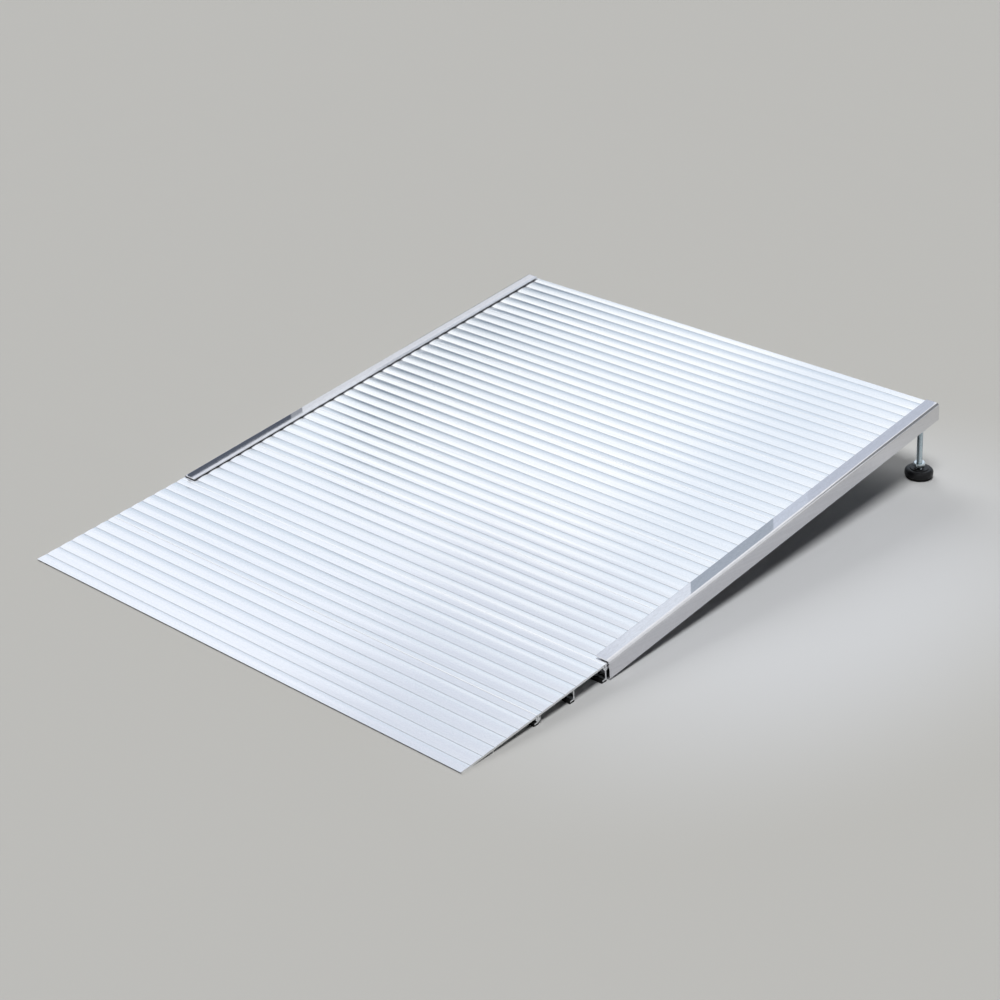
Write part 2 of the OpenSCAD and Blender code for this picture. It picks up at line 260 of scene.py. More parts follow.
def math_node(tree, operation, a, b):
    """A Math node whose inputs are sockets or plain numbers."""
    node = tree.nodes.new("ShaderNodeMath")
    node.operation = operation
    for socket, value in zip(node.inputs, (a, b)):
        if isinstance(value, bpy.types.NodeSocket):
            tree.links.new(value, socket)
        else:
            socket.default_value = value
    return node.outputs[0]


def product(tree, first, *others):
    """Sockets and numbers multiplied together."""
    for other in others:
        first = math_node(tree, "MULTIPLY", first, other)
    return first


def vector_node(tree, operation, vector, other=(0, 0, 0)):
    """The outputs of a Vector Math node on a socket and a plain vector."""
    node = tree.nodes.new("ShaderNodeVectorMath")
    node.operation = operation
    tree.links.new(vector, node.inputs[0])
    node.inputs[1].default_value = other
    return node.outputs


def noise_node(tree, vector, scale, detail=2.0, roughness=0.5):
    """A noise texture's value."""
    node = tree.nodes.new("ShaderNodeTexNoise")
    tree.links.new(vector, node.inputs["Vector"])
    if isinstance(scale, bpy.types.NodeSocket):
        tree.links.new(scale, node.inputs["Scale"])
    else:
        node.inputs["Scale"].default_value = scale
    node.inputs["Detail"].default_value = detail
    node.inputs["Roughness"].default_value = roughness
    return node.outputs["Fac"]


def range_node(tree, value, span, to_low, to_high, smooth=False):
    """A Map Range node, clamped: a span of values taken to two others."""
    node = tree.nodes.new("ShaderNodeMapRange")
    node.interpolation_type = "SMOOTHSTEP" if smooth else "LINEAR"
    tree.links.new(value, node.inputs["Value"])
    sockets = ("From Min", "From Max", "To Min", "To Max")
    for socket, number in zip(sockets, (*span, to_low, to_high)):
        node.inputs[socket].default_value = number
    return node.outputs["Result"]


# %% [markdown]
# ## Brushed lines
# Metal that was pressed through a die and brushed has fine lines that all run one way, and a
# fine speckle. An image of such lines would show its pixels close up, so a noise is stretched
# here, long one way and short the other. The same group serves the planks, whose lines run
# across the ramp, and the rails, whose lines run up the slope.

# %% Brushed metal lines
STREAK_DETAIL = 5.0
STREAK_ROUGH = 0.65
SPECKLE_SCALE = 450.0
SPECKLE_HEIGHT = 0.6


def make_brushed_group():
    """Lines along X, a speckle, and a height made of both."""
    group, inside, outside = node_group("brushed lines", ["Along", "Across"],
                                        ["Streak", "Grain", "Height"])
    split = group.nodes.new("ShaderNodeSeparateXYZ")
    group.links.new(inside.outputs["Vector"], split.inputs[0])
    stretched = group.nodes.new("ShaderNodeCombineXYZ")
    for axis, scale in (("X", "Along"), ("Y", "Across"), ("Z", "Across")):
        scaled = product(group, split.outputs[axis], inside.outputs[scale])
        group.links.new(scaled, stretched.inputs[axis])
    streak = noise_node(group, stretched.outputs[0], 1.0, STREAK_DETAIL, STREAK_ROUGH)
    grain = noise_node(group, inside.outputs["Vector"], SPECKLE_SCALE)
    height = math_node(group, "ADD", streak, product(group, grain, SPECKLE_HEIGHT))
    group.links.new(streak, outside.inputs["Streak"])
    group.links.new(grain, outside.inputs["Grain"])
    group.links.new(height, outside.inputs["Height"])
    return group


brushed_lines = make_brushed_group()


# %% [markdown]
# ## Moulded grain
# Black plastic and rubber take a fine grain from their mould, and dust settles on them in
# patches. The grain changes the gloss and the bump. The dust only lifts the colour a little.

# %% Moulded grain
GRAIN_DETAIL, GRAIN_ROUGH = 3.0, 0.6
DUST_SCALE, DUST_DETAIL, DUST_ROUGH = 60.0, 4.0, 0.7
DUST_SPAN = (0.45, 0.75)


def make_grain_group():
    """A fine grain, and patches of dust."""
    group, inside, outside = node_group("moulded grain", ["Scale"], ["Grain", "Dust"])
    place, scale = inside.outputs["Vector"], inside.outputs["Scale"]
    grain = noise_node(group, place, scale, GRAIN_DETAIL, GRAIN_ROUGH)
    dust = noise_node(group, place, DUST_SCALE, DUST_DETAIL, DUST_ROUGH)
    group.links.new(grain, outside.inputs["Grain"])
    group.links.new(range_node(group, dust, DUST_SPAN, 0.0, 1.0), outside.inputs["Dust"])
    return group


moulded_grain = make_grain_group()
print("groups:", brushed_lines.name, "and", moulded_grain.name)


# %% [markdown]
# ## Two kinds of material
# A metal mixes two tones and two roughnesses by its lines. Shade is painted into its grooves:
# the marked corners fade to a dark tone. Rubber and plastic share a second recipe, each with
# its own tones, grain and gloss.

# %% Materials from the groups
def new_material(name):
    """A material with its shader and Object coordinates."""
    material = bpy.data.materials.new(name)
    material.use_nodes = True
    tree = material.node_tree
    shader = tree.nodes["Principled BSDF"]
    place = tree.nodes.new("ShaderNodeTexCoord").outputs["Object"]
    return material, tree, shader, place


def placed_group(tree, group, vector, **values):
    """A node group in a material, with its own values."""
    node = tree.nodes.new("ShaderNodeGroup")
    node.node_tree = group
    tree.links.new(vector, node.inputs["Vector"])
    for socket, value in values.items():
        node.inputs[socket].default_value = value
    return node.outputs


def mixed_colour(tree, factor, first, second):
    """A colour between two, by a factor."""
    node = tree.nodes.new("ShaderNodeMix")
    node.data_type = "RGBA"
    tree.links.new(factor, node.inputs["Factor"])
    for socket, colour in (("A", first), ("B", second)):
        if isinstance(colour, bpy.types.NodeSocket):
            tree.links.new(colour, node.inputs[socket])
        else:
            node.inputs[socket].default_value = (*colour, 1)
    return node.outputs["Result"]


def bump_from(tree, height, strength, distance):
    """A normal tilted by a height."""
    node = tree.nodes.new("ShaderNodeBump")
    node.inputs["Strength"].default_value = strength
    node.inputs["Distance"].default_value = distance
    tree.links.new(height, node.inputs["Height"])
    return node.outputs["Normal"]


# Painted shade in the marked grooves, and the span of the mark over which it fades in.
PAINTED_GROOVE_SHADE = (0.05, 0.06, 0.075)
SHADE_MARK_SPAN = (0.0, 0.5)
SPECKLE_TONE = 0.8
TONE_SPAN = (0.65, 1.15)
NOISE_SPAN = (0.3, 0.7)
LINE_DEPTH = 0.03 * MM
GRAIN_DEPTH = 0.08 * MM


def metal(name, light, dark, smooth, rough, along, across, turn=(0, 0, 0), bump=0.12):
    """Metal in two tones and roughnesses, with lines scaled along and across. Marked grooves get
    painted shade.
    """
    material, tree, shader, place = new_material(name)
    mapping = tree.nodes.new("ShaderNodeMapping")
    mapping.inputs["Rotation"].default_value = turn
    tree.links.new(place, mapping.inputs["Vector"])
    lines = placed_group(tree, brushed_lines, mapping.outputs[0], Along=along, Across=across)
    tone = math_node(tree, "ADD", lines["Streak"], product(tree, lines["Grain"], SPECKLE_TONE))
    tone = range_node(tree, tone, TONE_SPAN, 0.0, 1.0)
    # The groove attribute carries the shade marks, which paint a dark tone into the grooves.
    groove = tree.nodes.new("ShaderNodeAttribute")
    groove.attribute_name = "groove"
    shade = range_node(tree, groove.outputs["Fac"], SHADE_MARK_SPAN, 0.0, 1.0)
    colour = mixed_colour(tree, shade, mixed_colour(tree, tone, light, dark), PAINTED_GROOVE_SHADE)
    tree.links.new(colour, shader.inputs["Base Color"])
    blur = range_node(tree, lines["Streak"], NOISE_SPAN, smooth, rough)
    tree.links.new(blur, shader.inputs["Roughness"])
    tree.links.new(bump_from(tree, lines["Height"], bump, LINE_DEPTH), shader.inputs["Normal"])
    shader.inputs["Metallic"].default_value = 1.0
    return material


def black(name, colour, dusty, grain, smooth, rough, bump, shine):
    """Black rubber or plastic with a fine grain and a trace of dust."""
    material, tree, shader, place = new_material(name)
    skin = placed_group(tree, moulded_grain, place, Scale=grain)
    tone = mixed_colour(tree, skin["Dust"], colour, dusty)
    tree.links.new(tone, shader.inputs["Base Color"])
    blur = range_node(tree, skin["Grain"], NOISE_SPAN, smooth, rough)
    tree.links.new(blur, shader.inputs["Roughness"])
    tree.links.new(bump_from(tree, skin["Grain"], bump, GRAIN_DEPTH), shader.inputs["Normal"])
    shader.inputs["Specular IOR Level"].default_value = shine
    return material


# %% [markdown]
# ## The finishes
# The planks are anodised: a bright, nearly neutral silver with a silky surface that blurs what
# it reflects. The rails are smoother and greyer, so that their reflections have clearer edges.
# Zinc plating is bluish. The feet are black plastic with some gloss, on dull rubber soles.

# %% The finishes
UP_SLOPE = (deck_slope, 0, math.radians(90))
deck_metal = metal("deck_aluminium", light=(0.95, 0.955, 0.97), dark=(0.87, 0.89, 0.92),
                   smooth=0.17, rough=0.25, along=1.2, across=160.0)
rail_metal = metal("rail_aluminium", light=(0.80, 0.80, 0.83), dark=(0.70, 0.70, 0.73),
                   smooth=0.10, rough=0.17, along=2.0, across=300.0, turn=UP_SLOPE)
block_metal = metal("block_aluminium", light=(0.74, 0.74, 0.76), dark=(0.60, 0.60, 0.62),
                    smooth=0.30, rough=0.45, along=60.0, across=700.0)
zinc = metal("zinc_plate", light=(0.72, 0.79, 0.82), dark=(0.58, 0.66, 0.70),
             smooth=0.12, rough=0.26, along=300.0, across=300.0, bump=0.05)
rubber = black("black_rubber", colour=(0.010, 0.010, 0.010), dusty=(0.022, 0.021, 0.020),
               grain=900.0, smooth=0.62, rough=0.85, bump=0.35, shine=0.2)
plastic = black("black_plastic", colour=(0.007, 0.007, 0.008), dusty=(0.014, 0.014, 0.015),
                grain=1500.0, smooth=0.24, rough=0.38, bump=0.2, shine=0.24)
finishes = (deck_metal, rail_metal, block_metal, zinc, rubber, plastic)
print("finishes:", [material.name for material in finishes])

# %% [markdown]
# ## The planks
# A plank is an aluminium extrusion with a thin skin, webs with feet, and an edge that hooks
# into the next plank. It could be cut from a block, but the die makes one section all along, so
# the section is one closed outline, drawn from the lower edge over the ribs and back along the
# underside. These are its sizes.

# %% Sizes of the section
TREAD = RIB_RISE + SKIN
RIB_R = (RIB_PITCH ** 2 / 4 + RIB_RISE ** 2) / (2 * RIB_RISE)
SEAM_GAP = 1.0 * MM
BEAD_R = 2.3 * MM
BEAD_FIT = 0.3 * MM
CLAW_WALL = 1.9 * MM
CLAW_IN = BEAD_R + BEAD_FIT
CLAW_OUT = CLAW_IN + CLAW_WALL
NECK = 2.0 * MM
WEB = 2.2 * MM
FOOT_L = 9.0 * MM
FOOT_T = 2.2 * MM
LEG_IN = 2.2 * MM
MID_WEB = 0.533 * PLANK_L
PLANK_DEPTH = 27 * MM
MOUTH_FRONT = math.radians(48)
MOUTH_REAR = math.radians(55)
RIB_STEP = math.radians(1.2)
GROOVE_W = 0.7 * MM
GROOVE_D = 0.6 * MM
LIP_EASE = 0.6 * MM
plank_low, plank_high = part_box("deck_plank_1")
PLANK_W = plank_high[0] - plank_low[0]
print("plank width", round(PLANK_W / MM, 1), "mm, rib radius", round(RIB_R / MM, 1), "mm")


# %% [markdown]
# ### Ribs and legs
# The tread is a row of very shallow arcs, less than a millimetre high, that meet in narrow,
# sharp grooves. Such flat arcs reflect bands that are clear but not harsh. A leg is a web with
# a foot that points down the slope.

# %% Parts of the outline
def rib_height(x):
    """Height of a rib's arc at a distance from its crest."""
    return math.sqrt(RIB_R ** 2 - x ** 2) - RIB_R


def draw_rib(pen, start, low, high):
    """A rib's arc from one place across it to another."""
    crest = RIB_PITCH / 2
    turn = math.asin((high - crest) / RIB_R) - math.asin((low - crest) / RIB_R)
    pen.arc(start + crest, -RIB_R, -turn, RIB_STEP)


def draw_ribs(pen, start, gap):
    """A sharp groove and a rib, again and again, and the last rib, cut off in front of the seam."""
    for i in range(FULL_RIBS + 1):
        groove = start + i * RIB_PITCH
        end = RIB_PITCH - GROOVE_W / 2 if i < FULL_RIBS else LAST_RIB - gap
        # The groove's bottom gets a shade mark for painted shade.
        pen.line(groove, -RIB_RISE - GROOVE_D, mark=1.0)
        pen.line(groove + GROOVE_W / 2, rib_height(RIB_PITCH / 2 - GROOVE_W / 2))
        draw_rib(pen, groove, GROOVE_W / 2, end)


def draw_leg(pen, s, depth, top):
    """Down the rear face of a web, round its foot and up its front face to a height."""
    pen.line(s + WEB / 2, -depth)
    pen.line(s + WEB / 2 - FOOT_L, -depth)
    pen.line(s + WEB / 2 - FOOT_L, -depth + FOOT_T)
    pen.line(s - WEB / 2, -depth + FOOT_T)
    pen.line(s - WEB / 2, top)


# %% [markdown]
# ### The hook between two planks
# A plank's lower edge hangs a neck and a round bead into the claw of the plank below. The
# claw's mouth is narrower than the bead, so planks slide together from the side, and can turn a
# little without coming apart.

# %% Claw and bead
def draw_claw(pen, seam, depth):
    """Upper edge of a plank: down its end, round the claw, down the leg and up to the tread."""
    y, z = seam + BEAD_IN, -BEAD_DEPTH
    wall = -SEAM_GAP / 2 - BEAD_IN
    on_wall = math.acos(wall / CLAW_OUT)
    pen.line(y + wall, z + CLAW_OUT * math.sin(on_wall))
    pen.arc(y, z, math.pi / 2 + MOUTH_FRONT - on_wall)
    pen.line(y - CLAW_IN * math.sin(MOUTH_FRONT), z + CLAW_IN * math.cos(MOUTH_FRONT))
    pen.arc(y, z, math.tau - MOUTH_FRONT - MOUTH_REAR)
    pen.line(y + CLAW_OUT * math.sin(MOUTH_REAR), z + CLAW_OUT * math.cos(MOUTH_REAR))
    rear, front = LEG_IN + WEB / 2 - BEAD_IN, LEG_IN - WEB / 2 - BEAD_IN
    at_rear, at_front = -math.acos(rear / CLAW_OUT), -math.acos(front / CLAW_OUT)
    pen.arc(y, z, at_rear - (math.pi / 2 - MOUTH_REAR))
    draw_leg(pen, seam + LEG_IN, depth, z + CLAW_OUT * math.sin(at_front))
    low = BEAD_R / 2
    pen.arc(y, z, -(math.pi + at_front) + math.asin(low / CLAW_OUT))
    pen.line(seam - SEAM_GAP / 2 - NECK, z - low)
    pen.line(seam - SEAM_GAP / 2 - NECK, -TREAD)


def draw_bead(pen):
    """Lower edge of a plank: down the neck, round the bead, up again and out to the end."""
    half = math.asin(NECK / 2 / BEAD_R)
    neck_z = -BEAD_DEPTH + BEAD_R * math.cos(half)
    pen.line(BEAD_IN + NECK / 2, -TREAD)
    pen.line(BEAD_IN + NECK / 2, neck_z)
    pen.arc(BEAD_IN, -BEAD_DEPTH, -(math.tau - 2 * half), 2 * ARC_STEP)
    pen.line(BEAD_IN - NECK / 2, -TREAD)
    pen.line(SEAM_GAP / 2, -TREAD)


# %% [markdown]
# ### Two sections
# All planks but one share a section in which only the legs' depths differ. A plank's lower lip
# is eased, so a seam shows as a fine line. The tip plank has a flat nose that ends as half a
# rib. Its underside is cut back behind the front edge, which leaves a thin dark line on the
# floor. That cut face is also painted in dark shade, which darkens the line.

# %% Whole sections
def plank_section(mid_depth, rear_depth, top_plank=False):
    """Outline of a plank between two seams, or of the top plank with its plain end."""
    lip = LAST_RIB + SEAM_GAP / 2 + LIP_EASE
    top = rib_height(lip - RIB_PITCH / 2)
    pen = Pen(SEAM_GAP / 2, top - LIP_EASE)
    pen.line(SEAM_GAP / 2 + LIP_EASE, top)
    draw_rib(pen, PLANK_LIP - RIB_PITCH, lip, RIB_PITCH - GROOVE_W / 2)
    draw_ribs(pen, PLANK_LIP, 0 if top_plank else SEAM_GAP / 2)
    if top_plank:
        draw_leg(pen, PLANK_L - WEB / 2, rear_depth, -TREAD)
    else:
        draw_claw(pen, PLANK_L, rear_depth)
    pen.line(MID_WEB + WEB / 2, -TREAD)
    draw_leg(pen, MID_WEB, mid_depth, -TREAD)
    draw_bead(pen)
    return pen


TIP_T = 2.2 * MM
NUB = 66 * MM
NOSE_FACE = 0.3 * MM
NOSE_UNDER = 3.0 * MM


def floor_depth(s):
    """Depth of the floor under the front planks' crests."""
    return (TIP_T + s * math.sin(wedge_slope)) / math.cos(wedge_slope)


def tip_section(rear_depth):
    """Outline of the tip plank: flat nose, ribs, claw, short leg and the flat on the floor."""
    pen = Pen(0, 0)
    pen.line(TIP_NOSE - RIB_PITCH / 2, 0)
    draw_rib(pen, TIP_NOSE - RIB_PITCH, RIB_PITCH / 2, RIB_PITCH - GROOVE_W / 2)
    draw_ribs(pen, TIP_NOSE, SEAM_GAP / 2)
    draw_claw(pen, TIP_L, rear_depth)
    pen.line(NUB + WEB / 2, -TREAD)
    pen.line(NUB + WEB / 2, -floor_depth(NUB + WEB / 2))
    pen.line(NUB - WEB / 2, -floor_depth(NUB - WEB / 2))
    pen.line(NUB - WEB / 2, -TREAD)
    pen.line((TREAD * math.cos(wedge_slope) - TIP_T) / math.sin(wedge_slope), -TREAD)
    # The cut face under the nose gets shade marks for painted shade.
    pen.line(NOSE_UNDER, -floor_depth(NOSE_UNDER), mark=1.0)
    pen.line(0, -NOSE_FACE, mark=1.0)
    return pen


# %% [markdown]
# ### Pulling the planks
# The front legs stand on rubber, so each one's depth follows the floor. The deck's legs are all
# as deep as the rails allow. Each section is pulled to the planks' width and put on its slope.

# %% Make the planks
STRIP_T = 3.0 * MM
FOOT_MID = WEB / 2 - FOOT_L / 2


def leg_depth(s):
    """Depth of a leg of the front planks that stands on a rubber strip."""
    return floor_depth(s + FOOT_MID) - STRIP_T / math.cos(wedge_slope)


WEDGE_L = TIP_L + PLANK_L
DECK_PLANKS = 6
section = tip_section(leg_depth(TIP_L + LEG_IN))
finish_piece(pulled(section, PLANK_W), "tip_plank_ribbed", wedge_frame,
             "tip", ["tip_plank"], deck_metal)
section = plank_section(leg_depth(TIP_L + MID_WEB), leg_depth(WEDGE_L + LEG_IN))
finish_piece(pulled(section, PLANK_W), "wedge_plank_ribbed",
             wedge_frame @ Matrix.Translation((0, TIP_L, 0)),
             "wedge", ["wedge_plank"], deck_metal)
for i in range(DECK_PLANKS):
    section = plank_section(PLANK_DEPTH, PLANK_DEPTH, i == DECK_PLANKS - 1)
    finish_piece(pulled(section, PLANK_W), f"deck_plank_{i + 1}_ribbed",
                 deck_frame @ Matrix.Translation((0, i * PLANK_L, 0)),
                 "deck", [f"deck_plank_{i + 1}"], deck_metal)

# %% [markdown]
# ## The side rails
# A rail is a channel that wraps the planks' ends. Its top flange stays about a millimetre over
# the ribs, so a dark gap runs along it. Its outer top edge is well rounded and its outer bottom
# edge a little. The section is drawn in (across, height) and pulled out, and then every sharp
# edge is broken by a fine radius.

# %% The side rails
RAIL_WALL = 2.5 * MM
FLANGE = 1.8 * MM
RAIL_FIT = 1.1 * MM
RAIL_START = 7.5 * MM
RAIL_EDGE_R = 5.5 * MM
RAIL_FOOT_R = 1.5 * MM
RAIL_BREAK = 0.35 * MM
RAIL_BREAK_STEPS = 2
rail_low, rail_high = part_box("right_rail")
RAIL_IN, RAIL_OUT = rail_low[0], rail_high[0]
RAIL_TOP = RAIL_FIT + FLANGE
RAIL_BOTTOM = -PLANK_DEPTH - RAIL_WALL
DECK_L = DECK_PLANKS * PLANK_L
RAIL_L = DECK_L - RAIL_START


def rail_section():
    """Outline of the right rail, with minus the distance across on Y."""
    pen = Pen(-RAIL_IN, RAIL_FIT)
    pen.line(-RAIL_IN, RAIL_TOP)
    pen.line(-RAIL_OUT + RAIL_EDGE_R, RAIL_TOP)
    pen.arc(-RAIL_OUT + RAIL_EDGE_R, RAIL_TOP - RAIL_EDGE_R, math.pi / 2)
    pen.line(-RAIL_OUT, RAIL_BOTTOM + RAIL_FOOT_R)
    pen.arc(-RAIL_OUT + RAIL_FOOT_R, RAIL_BOTTOM + RAIL_FOOT_R, math.pi / 2)
    pen.line(-RAIL_IN, RAIL_BOTTOM)
    pen.line(-RAIL_IN, -PLANK_DEPTH)
    pen.line(-RAIL_OUT + RAIL_WALL, -PLANK_DEPTH)
    pen.line(-RAIL_OUT + RAIL_WALL, RAIL_FIT)
    return pen


def make_rail(side):
    """A rail's section, pulled out, turned up the slope and put on its side."""
    bm = pulled(rail_section(), RAIL_L)
    ease_corners(bm, RAIL_BREAK, RAIL_BREAK_STEPS)
    up_slope = Matrix.Rotation(math.pi / 2, 4, "Z")
    along = Matrix.Translation((0, RAIL_START + RAIL_L / 2, 0)) @ up_slope
    finish_piece(bm, f"{side}_rail_channel", SIDES[side] @ deck_frame @ along,
                 "deck", [f"{side}_rail"], rail_metal)


for side in SIDES:
    make_rail(side)

# %% [markdown]
# ## The rubber strips
# A strip is clipped round the foot of each front leg. It is soft, so its edges are round, and
# its underside is cut to lie flat on the floor.

# %% The rubber strips
STRIP_WALL = 1.6 * MM
STRIP_HOLD = 3.0 * MM
STRIP_ROUND = 0.5 * MM
STRIP_ROUND_STEPS = 3


def strip_section(s):
    """Outline of the strip on the leg at a distance from the tip."""
    depth = leg_depth(s)
    rear = s + WEB / 2
    toe = rear - FOOT_L
    front = toe - STRIP_WALL
    top = -depth + FOOT_T + STRIP_WALL
    pen = Pen(rear, -depth)
    pen.line(toe, -depth)
    pen.line(toe, -depth + FOOT_T)
    pen.line(toe + STRIP_HOLD, -depth + FOOT_T)
    pen.line(toe + STRIP_HOLD, top)
    pen.line(front, top)
    pen.line(front, -floor_depth(front))
    pen.line(rear, -floor_depth(rear))
    return pen


def make_strip(name, s, body):
    """A strip as long as the planks are wide, on the leg at a distance from the tip."""
    bm = pulled(strip_section(s), PLANK_W)
    ease_corners(bm, STRIP_ROUND, STRIP_ROUND_STEPS)
    finish_piece(bm, f"{name}_rubber", wedge_frame, body, [name], rubber)


make_strip("tip_strip", TIP_L + LEG_IN, "tip")
make_strip("wedge_mid_strip", TIP_L + MID_WEB, "wedge")
make_strip("wedge_rear_strip", WEDGE_L + LEG_IN, "wedge")

# %% [markdown]
# ## The screw feet
# The stud is an M10 threaded rod with a hex to turn it and a ball that sits in the pad. Its
# thread is one V profile spun with a rise at every step, so that each turn meets the next. A
# hex bar's corners are turned off at an angle, which is done here with one tilted cut at each
# corner.

# %% Thread and hex
THREAD_R = 4.95 * MM
THREAD_PITCH = 1.5 * MM
THREAD_DEPTH = 0.92 * MM
THREAD_STEPS = 24
THREAD_CREST = (0.44, 0.56)
THREAD_WELD = 0.01 * MM
HEX_SIDES = 6
HEX_CHAMFER = math.radians(30)
HEX_WELD = 0.001 * MM


def thread(low, high):
    """A helical thread from one height to another."""
    turns = math.ceil((high - low) / THREAD_PITCH) - 1
    root = THREAD_R - THREAD_DEPTH
    pen = Pen(root, low)
    for share in THREAD_CREST:
        pen.line(THREAD_R, low + share * THREAD_PITCH)
    pen.line(root, low + THREAD_PITCH)
    bm = pen.bm
    bmesh.ops.spin(bm, geom=bm.verts[:] + bm.edges[:], cent=(0, 0, 0), axis=(0, 0, 1),
                   dvec=(0, 0, THREAD_PITCH / THREAD_STEPS),
                   angle=math.tau * turns, steps=THREAD_STEPS * turns)
    bmesh.ops.remove_doubles(bm, verts=bm.verts, dist=THREAD_WELD)
    bmesh.ops.recalc_face_normals(bm, faces=bm.faces)
    return bm


def hex_bar(across, low, high):
    """A hexagonal bar with its corners turned off at both ends."""
    bm = bmesh.new()
    corner = across / 2 / math.cos(math.pi / HEX_SIDES)
    middle = (low + high) / 2
    bmesh.ops.create_cone(bm, cap_ends=True, segments=HEX_SIDES,
                          radius1=corner, radius2=corner, depth=high - low)
    bmesh.ops.translate(bm, verts=bm.verts, vec=(0, 0, middle))
    points = [Vector((v.co.x, v.co.y, 0)).normalized() for v in bm.verts if v.co.z > middle]
    for out in points:
        for end, sign in ((high, 1), (low, -1)):
            up = Vector((0, 0, sign * math.cos(HEX_CHAMFER)))
            cut = bmesh.ops.bisect_plane(bm, geom=bm.verts[:] + bm.edges[:] + bm.faces[:],
                                         plane_co=out * across / 2 + Vector((0, 0, end)),
                                         plane_no=out * math.sin(HEX_CHAMFER) + up,
                                         dist=HEX_WELD, clear_outer=True)
            bmesh.ops.contextual_create(bm, geom=only(bmesh.types.BMEdge, cut["geom_cut"]))
    bmesh.ops.recalc_face_normals(bm, faces=bm.faces)
    return bm


# %% [markdown]
# ### The studs
# From below, a stud is a ball, a neck, a hex for a spanner and a threaded rod. The round pieces
# are turned about one axis. The ball's centre comes from the pad's joint, and the rod stands
# square to the deck.

# %% The studs
BALL_R = 6.5 * MM
STUD_NECK_R = 4.0 * MM
HEX_RISE = 9.5 * MM
HEX_H = 7.0 * MM
HEX_AF = 17 * MM
STUD_TOP = -12 * MM
STUD_STEPS = 48
CORE_STEPS = 32
ball = {side: Vector(joints[f"{side}_pad_tilt"]["pos_m"]) for side in SIDES}
BALL_HEIGHT = (deck_frame.inverted() @ ball["right"]).z
STUD_RISE = STUD_TOP - BALL_HEIGHT


def stud_foot():
    """Ball and neck up to the hex, turned in one piece."""
    pen = Pen(0, -BALL_R)
    pen.arc(0, 0, math.pi - math.asin(STUD_NECK_R / BALL_R))
    pen.line(STUD_NECK_R, HEX_RISE)
    pen.line(0, HEX_RISE)
    return turned(pen, STUD_STEPS)


def stud_core():
    """The rod inside the thread, with a chamfered top."""
    root = THREAD_R - THREAD_DEPTH
    pen = Pen(0, HEX_RISE)
    pen.line(root, HEX_RISE)
    pen.line(root, STUD_RISE - root / 2)
    pen.line(root / 2, STUD_RISE)
    pen.line(0, STUD_RISE)
    return turned(pen, CORE_STEPS)


def stud_place(side):
    """The stud's own frame: the ball's centre, square to the deck."""
    return Matrix.Translation(ball[side]) @ Matrix.Rotation(deck_slope, 4, "X")


for side in SIDES:
    bm = joined(stud_foot(), hex_bar(HEX_AF, HEX_RISE, HEX_RISE + HEX_H), stud_core(),
                thread(HEX_RISE + HEX_H - THREAD_PITCH, STUD_RISE - THREAD_R))
    finish_piece(bm, f"{side}_stud_threaded", stud_place(side),
                 f"{side}_screw_stud", [f"{side}_stud"], zinc)

# %% [markdown]
# ### Nuts and rings
# A lock nut under the rail keeps the rod from turning by itself. A ring round the neck closes
# the pad's cup, so that the ball stays in it.

# %% Lock nuts and neck washers
NUT_AF = 17 * MM
NUT_H = 8 * MM
WASHER_R = 7.5 * MM
WASHER_T = 1.4 * MM
WASHER_GAP = 0.1 * MM
WASHER_FIT = 0.08 * MM
WASHER_LOW = HEX_RISE - WASHER_GAP - WASHER_T
WASHER_EASE = 0.3 * MM
EASE_STEP = math.radians(30)
NUT_TOP = RAIL_BOTTOM - BALL_HEIGHT


def washer():
    """A ring with eased edges."""
    inner = STUD_NECK_R + WASHER_FIT
    rim = WASHER_R - WASHER_EASE
    top = WASHER_LOW + WASHER_T
    pen = Pen(inner, WASHER_LOW)
    pen.line(rim, WASHER_LOW)
    pen.arc(rim, WASHER_LOW + WASHER_EASE, math.pi / 2, EASE_STEP)
    pen.line(WASHER_R, top - WASHER_EASE)
    pen.arc(rim, top - WASHER_EASE, math.pi / 2, EASE_STEP)
    pen.line(inner, top)
    pen.line(inner, WASHER_LOW)
    return turned(pen, STUD_STEPS)


for side in SIDES:
    finish_piece(hex_bar(NUT_AF, NUT_TOP - NUT_H, NUT_TOP), f"{side}_lock_nut_hex",
                 stud_place(side), "deck", [f"{side}_lock_nut"], zinc)
    finish_piece(washer(), f"{side}_neck_ring", stud_place(side),
                 f"{side}_collar", [f"{side}_neck_washer"], plastic)

# %% [markdown]
# ## The pads
# A levelling pad is moulded: a low drum with a round shoulder, a raised ring on top, a cup for
# the ball in its middle and a rubber sole under it. All of it is round, so each section is
# drawn once and spun.

# %% The pads
PAD_R = 24.5 * MM
SHOULDER_R = 5.5 * MM
SOLE_T = 4 * MM
SOLE_R = 22.5 * MM
SOLE_CHAMFER = 1.0 * MM
GROOVE_R = PAD_R - 2.6 * MM
GROOVE_TOP = SOLE_T + 1.2 * MM
RIM_R = 1.2 * MM
RIM_STEP = math.radians(15)
CUP_FIT = 0.08 * MM
CUP_R = BALL_R + CUP_FIT
MOUTH_R = 5.6 * MM
MOUTH_TOP_R = 8.5 * MM
PAD_TOP_RISE = 6.0 * MM
RING_R = 16.5 * MM
RING_H = 1.4 * MM
PAD_STEPS = 96


